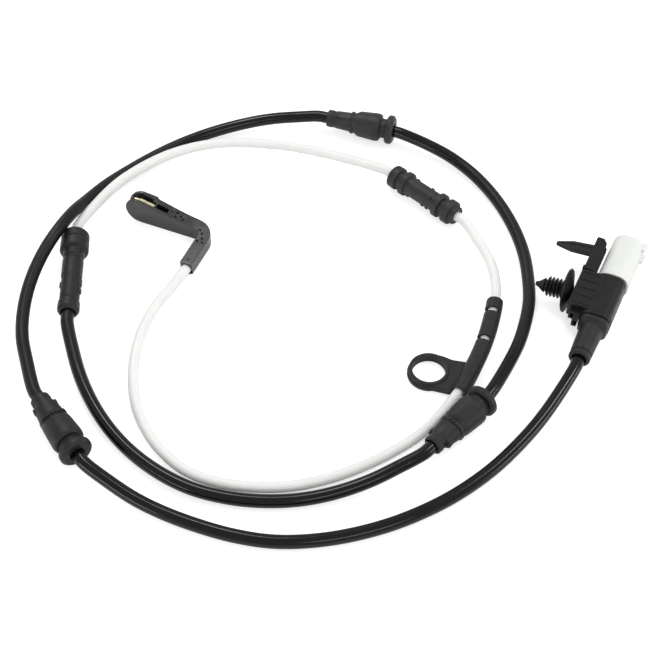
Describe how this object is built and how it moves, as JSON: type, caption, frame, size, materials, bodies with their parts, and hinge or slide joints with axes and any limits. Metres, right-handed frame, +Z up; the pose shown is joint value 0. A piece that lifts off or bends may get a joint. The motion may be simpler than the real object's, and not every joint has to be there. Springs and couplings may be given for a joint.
{
  "type": "brake pad wear sensor",
  "caption": "Angled sensor head on a white-sleeved lead that joins a black cable, with rubber grommets, a ring clip and a plug held by push-in fasteners.",
  "frame": {"origin": "centre of the rigid pieces' bounding box, on the surface that the object lies on", "axes": "+Z up, off the surface; +X along the longer side of the laid-out loops; +Y away from the viewer, who sees the plug on the right"},
  "size_m": [0.2459, 0.2169, 0.0174],
  "materials": {
    "black_plastic": "fine moulded texture, satin",
    "black_rubber": "matt",
    "cable_jacket": "smooth, glossy",
    "white_sleeving": "smooth, slightly translucent",
    "white_nylon": "satin",
    "contact_brass": "bright"
  },
  "bodies": {
    "root": {"sensor_head": "black_plastic", "spring_strip": "contact_brass", "ring_clip": "black_plastic", "double_grommet": "black_rubber", "splice": "black_rubber", "grommet_near": "black_rubber", "grommet_far": "black_rubber", "grommet_left": "black_rubber", "plug_boot": "black_rubber", "plug_housing": "black_plastic", "plug_insert": "white_nylon", "terminal_left": "contact_brass", "terminal_right": "contact_brass", "clip_bracket": "black_plastic", "fir_tree": "black_plastic", "white_sleeve": "white_sleeving", "black_cable": "cable_jacket"}
  },
  "joints": []
}
